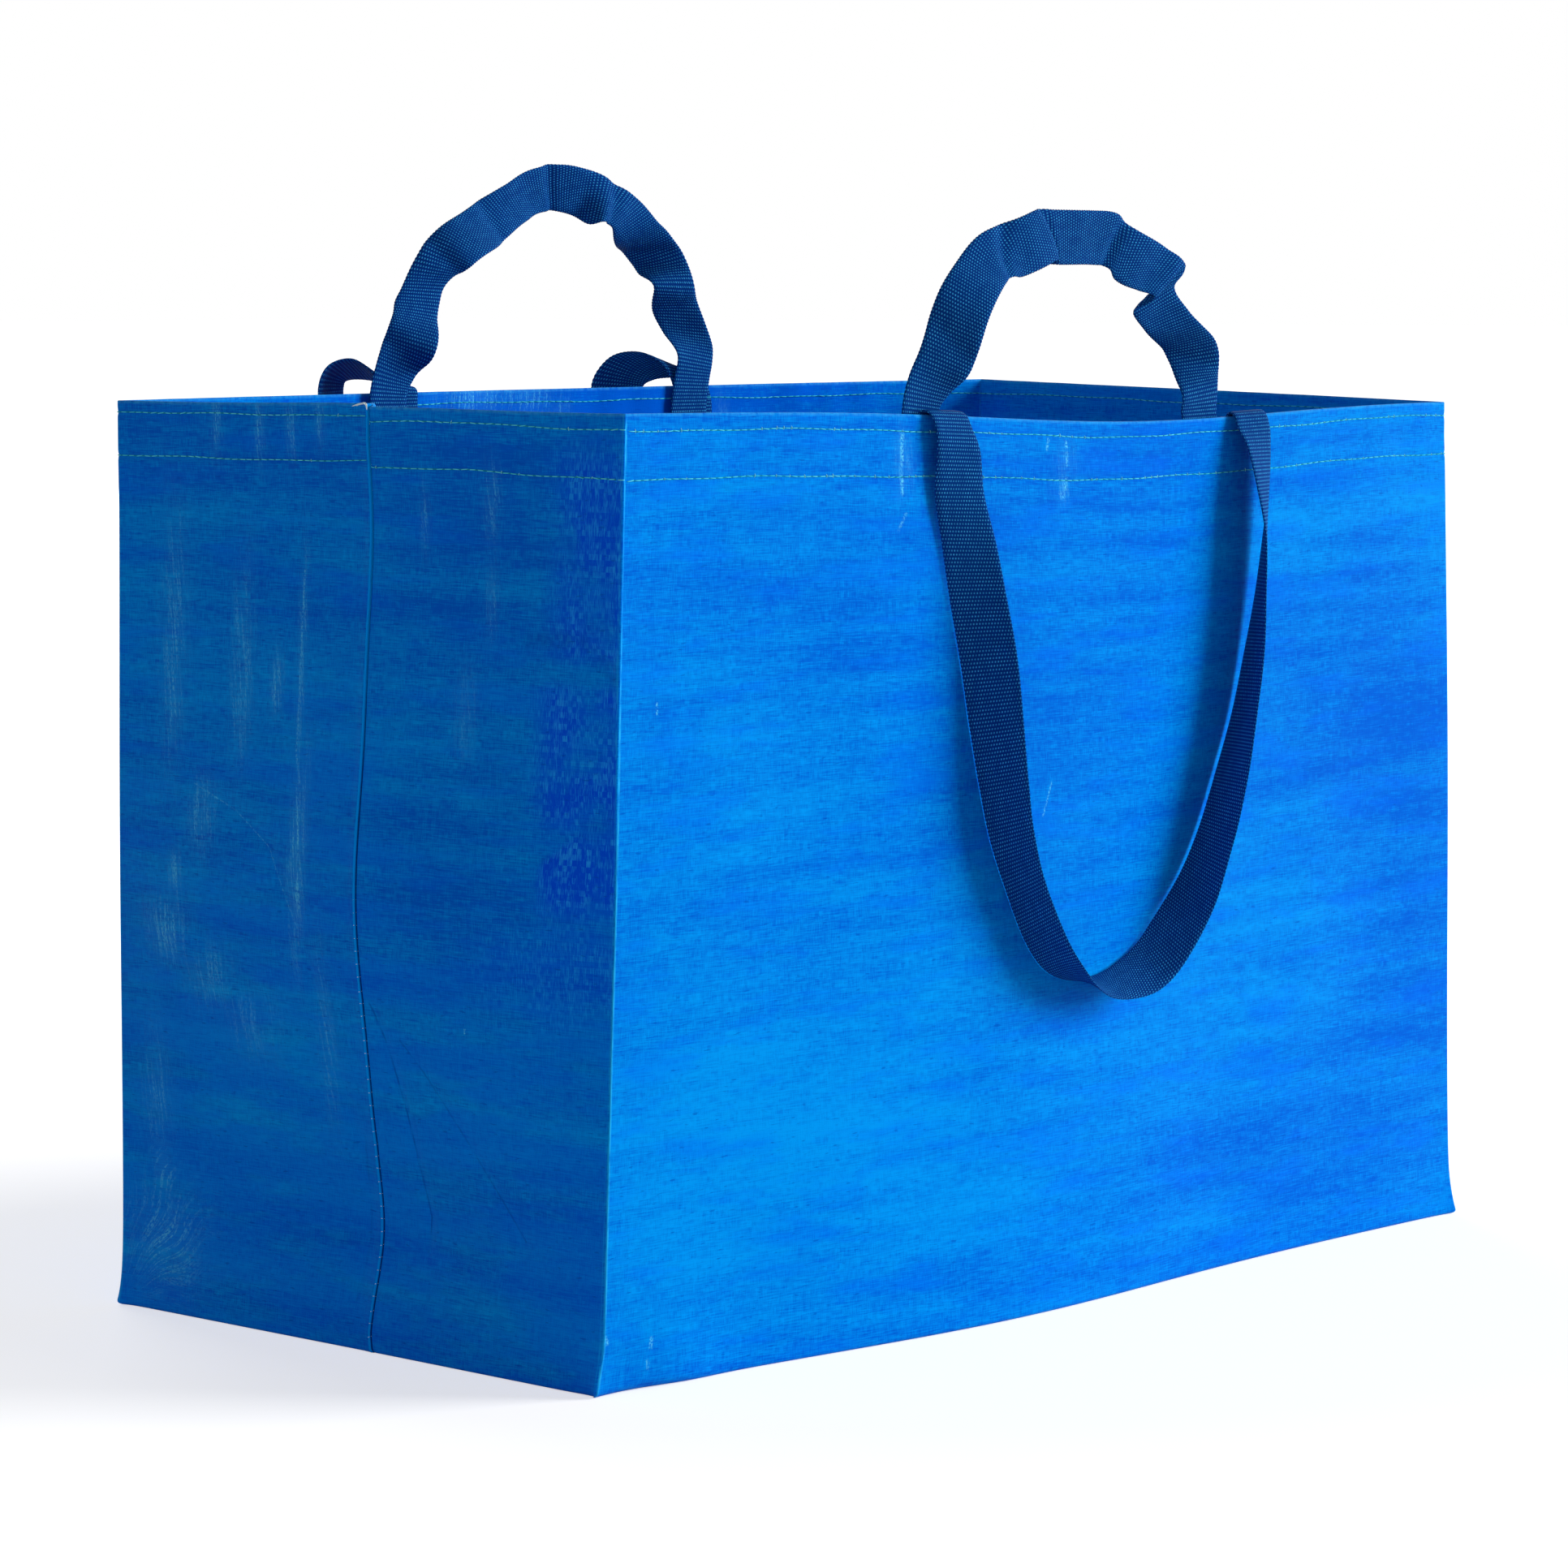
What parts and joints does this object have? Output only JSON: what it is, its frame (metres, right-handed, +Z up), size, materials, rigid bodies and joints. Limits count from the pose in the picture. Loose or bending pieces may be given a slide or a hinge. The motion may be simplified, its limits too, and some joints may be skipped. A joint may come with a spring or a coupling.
{
  "type": "shopping bag",
  "caption": "Large open-topped box-shaped carrier bag of woven polypropylene with sewn end seams, a stitched hem, standing hand loops and long webbing straps flopped over the rim.",
  "frame": {"origin": "middle of the flat floor, on the surface that the bag stands on", "axes": "+X along the long walls, +Y from the front wall to the back wall, +Z up"},
  "size_m": [0.6221, 0.3797, 0.5097],
  "materials": {
    "film": "satin film over woven tapes",
    "webbing": "ribbed matt webbing"
  },
  "bodies": {
    "root": {"bag_body": "film", "front_short_handle": "webbing", "back_short_handle": "webbing", "front_long_handle": "webbing", "back_long_handle": "webbing"}
  },
  "joints": []
}
